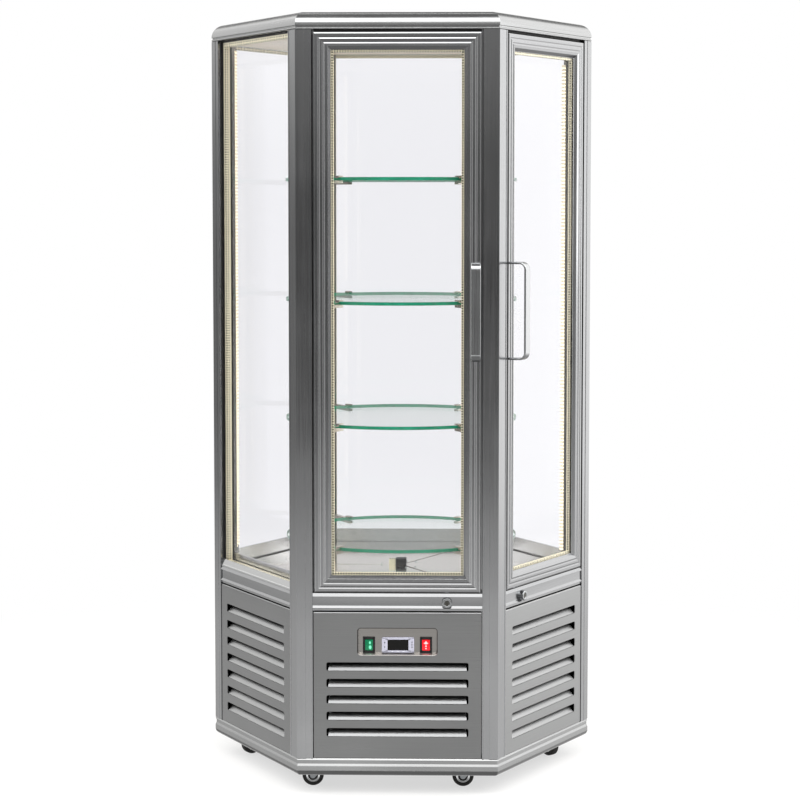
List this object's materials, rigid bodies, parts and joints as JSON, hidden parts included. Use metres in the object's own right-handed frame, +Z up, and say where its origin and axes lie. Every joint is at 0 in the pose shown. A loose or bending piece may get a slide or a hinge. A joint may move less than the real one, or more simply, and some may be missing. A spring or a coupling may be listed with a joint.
{
  "type": "cake display case",
  "caption": "Tall hexagonal glazed refrigerated display case on castors, with round glass shelves, hinged glass doors with bow handles and a louvred base that holds the cooling unit.",
  "frame": {"origin": "on the floor under the middle of the whole case's bounding box, door handles included", "axes": "+Z up; the face with the control pocket looks along -Y; +X is to the right of someone facing it"},
  "size_m": [0.92, 0.8418, 1.786],
  "materials": {
    "brushed_stainless": "fine brushed grain",
    "satin_aluminium": "satin anodised",
    "coil_aluminium": "plain rolled fins",
    "polished_aluminium": "bright polished",
    "polished_stainless": "bright polished",
    "clear_glass": "clear float",
    "green_edged_glass": "polished edges",
    "black_rubber": "matt",
    "black_plastic": "fine texture",
    "green_lens": "translucent gloss",
    "red_lens": "translucent gloss",
    "chrome": "mirror bright",
    "zinc_plated_steel": "bright zinc",
    "black_enamel": "gloss enamel",
    "white_moulding": "smooth"
  },
  "bodies": {
    "cabinet": {"base_tray": "brushed_stainless", "top_cover": "brushed_stainless", "front_base_panel": "brushed_stainless", "right_base_panel": "brushed_stainless", "rear_right_base_panel": "brushed_stainless", "rear_base_panel": "brushed_stainless", "rear_left_base_panel": "brushed_stainless", "left_base_panel": "brushed_stainless", "front_left_post": "satin_aluminium", "front_right_post": "satin_aluminium", "right_post": "satin_aluminium", "rear_right_post": "satin_aluminium", "rear_left_post": "satin_aluminium", "left_post": "satin_aluminium", "crossbar_frame": "satin_aluminium", "condenser": "coil_aluminium", "evaporator": "coil_aluminium", "ceiling_panel": "polished_aluminium", "chamber_deck": "polished_stainless", "front_left_shelf_support": "polished_stainless", "front_right_shelf_support": "polished_stainless", "rear_right_shelf_support": "polished_stainless", "rear_left_shelf_support": "polished_stainless", "rear_right_glass": "clear_glass", "rear_glass": "clear_glass", "rear_left_glass": "clear_glass", "left_glass": "clear_glass", "shelf_1": "green_edged_glass", "shelf_2": "green_edged_glass", "shelf_3": "green_edged_glass", "shelf_4": "green_edged_glass", "control_unit": "black_plastic", "compressor": "black_enamel", "evaporator_tub": "white_moulding"},
    "front_door": {"front_door_frame": "satin_aluminium", "front_door_glass": "clear_glass", "front_door_gasket": "black_rubber", "front_door_handle": "chrome"},
    "right_door": {"right_door_frame": "satin_aluminium", "right_door_glass": "clear_glass", "right_door_gasket": "black_rubber", "right_door_handle": "chrome"},
    "green_rocker": {"green_rocker": "green_lens"},
    "red_rocker": {"red_rocker": "red_lens"},
    "front_lock": {"front_lock_cylinder": "chrome"},
    "right_lock": {"right_lock_cylinder": "chrome"},
    "condenser_fan": {"condenser_fan_blade": "black_plastic"},
    "evaporator_fan": {"evaporator_fan_blade": "black_plastic"},
    "castor_front_left": {"castor_fork_front_left": "zinc_plated_steel"},
    "wheel_front_left": {"castor_wheel_front_left": "black_rubber"},
    "castor_front_right": {"castor_fork_front_right": "zinc_plated_steel"},
    "wheel_front_right": {"castor_wheel_front_right": "black_rubber"},
    "castor_right": {"castor_fork_right": "zinc_plated_steel"},
    "wheel_right": {"castor_wheel_right": "black_rubber"},
    "castor_rear_right": {"castor_fork_rear_right": "zinc_plated_steel"},
    "wheel_rear_right": {"castor_wheel_rear_right": "black_rubber"},
    "castor_rear_left": {"castor_fork_rear_left": "zinc_plated_steel"},
    "wheel_rear_left": {"castor_wheel_rear_left": "black_rubber"},
    "castor_left": {"castor_fork_left": "zinc_plated_steel"},
    "wheel_left": {"castor_wheel_left": "black_rubber"}
  },
  "joints": [
    {"name": "front_door_hinge", "type": "hinge", "parent": "cabinet", "child": "front_door", "pos_m": [-0.1768, -0.36687, 0.4712], "axis": [0, 0, -1], "range_deg": [0, 110]},
    {"name": "right_door_hinge", "type": "hinge", "parent": "cabinet", "child": "right_door", "pos_m": [0.42561, -0.01907, 0.4712], "axis": [0, 0, 1], "range_deg": [0, 110]},
    {"name": "front_lock_turn", "type": "hinge", "parent": "cabinet", "child": "front_lock", "pos_m": [0.113, -0.38187, 0.448], "axis": [0, 1, 0], "range_deg": [0, 90]},
    {"name": "right_lock_turn", "type": "hinge", "parent": "cabinet", "child": "right_lock", "pos_m": [0.2937, -0.27755, 0.448], "axis": [-0.866, 0.5, 0], "range_deg": [0, 90]},
    {"name": "green_rocker_tilt", "type": "hinge", "parent": "cabinet", "child": "green_rocker", "pos_m": [-0.0652, -0.36167, 0.34915], "axis": [-1, 0, 0], "range_deg": [0, 20]},
    {"name": "red_rocker_tilt", "type": "hinge", "parent": "cabinet", "child": "red_rocker", "pos_m": [0.0652, -0.36167, 0.34915], "axis": [-1, 0, 0], "range_deg": [0, 20]},
    {"name": "condenser_fan_spin", "type": "hinge", "parent": "cabinet", "child": "condenser_fan", "pos_m": [0.075, 0.2325, 0.1653], "axis": [0, 1, 0], "continuous": true},
    {"name": "evaporator_fan_spin", "type": "hinge", "parent": "cabinet", "child": "evaporator_fan", "pos_m": [0, 0.02554, 0.3618], "axis": [0, 1, 0], "continuous": true},
    {"name": "castor_swivel_front_left", "type": "hinge", "parent": "cabinet", "child": "castor_front_left", "pos_m": [-0.175, -0.28061, 0.0652], "axis": [0, 0, 1], "continuous": true},
    {"name": "wheel_spin_front_left", "type": "hinge", "parent": "castor_front_left", "child": "wheel_front_left", "pos_m": [-0.199, -0.28061, 0.025], "axis": [0, -1, 0], "continuous": true},
    {"name": "castor_swivel_front_right", "type": "hinge", "parent": "cabinet", "child": "castor_front_right", "pos_m": [0.175, -0.28061, 0.0652], "axis": [0, 0, 1], "continuous": true},
    {"name": "wheel_spin_front_right", "type": "hinge", "parent": "castor_front_right", "child": "wheel_front_right", "pos_m": [0.151, -0.28061, 0.025], "axis": [0, -1, 0], "continuous": true},
    {"name": "castor_swivel_right", "type": "hinge", "parent": "cabinet", "child": "castor_right", "pos_m": [0.35, 0.0225, 0.0652], "axis": [0, 0, 1], "continuous": true},
    {"name": "wheel_spin_right", "type": "hinge", "parent": "castor_right", "child": "wheel_right", "pos_m": [0.36543, 0.00411, 0.025], "axis": [0.766, 0.6428, 0], "continuous": true},
    {"name": "castor_swivel_rear_right", "type": "hinge", "parent": "cabinet", "child": "castor_rear_right", "pos_m": [0.175, 0.32561, 0.0652], "axis": [0, 0, 1], "continuous": true},
    {"name": "wheel_spin_rear_right", "type": "hinge", "parent": "castor_rear_right", "child": "wheel_rear_right", "pos_m": [0.15421, 0.33761, 0.025], "axis": [-0.5, -0.866, 0], "continuous": true},
    {"name": "castor_swivel_rear_left", "type": "hinge", "parent": "cabinet", "child": "castor_rear_left", "pos_m": [-0.175, 0.32561, 0.0652], "axis": [0, 0, 1], "continuous": true},
    {"name": "wheel_spin_rear_left", "type": "hinge", "parent": "castor_rear_left", "child": "wheel_rear_left", "pos_m": [-0.19755, 0.3174, 0.025], "axis": [0.342, -0.9397, 0], "continuous": true},
    {"name": "castor_swivel_left", "type": "hinge", "parent": "cabinet", "child": "castor_left", "pos_m": [-0.35, 0.0225, 0.0652], "axis": [0, 0, 1], "continuous": true},
    {"name": "wheel_spin_left", "type": "hinge", "parent": "castor_left", "child": "wheel_left", "pos_m": [-0.36966, 0.00873, 0.025], "axis": [0.5736, -0.8192, 0], "continuous": true}
  ]
}
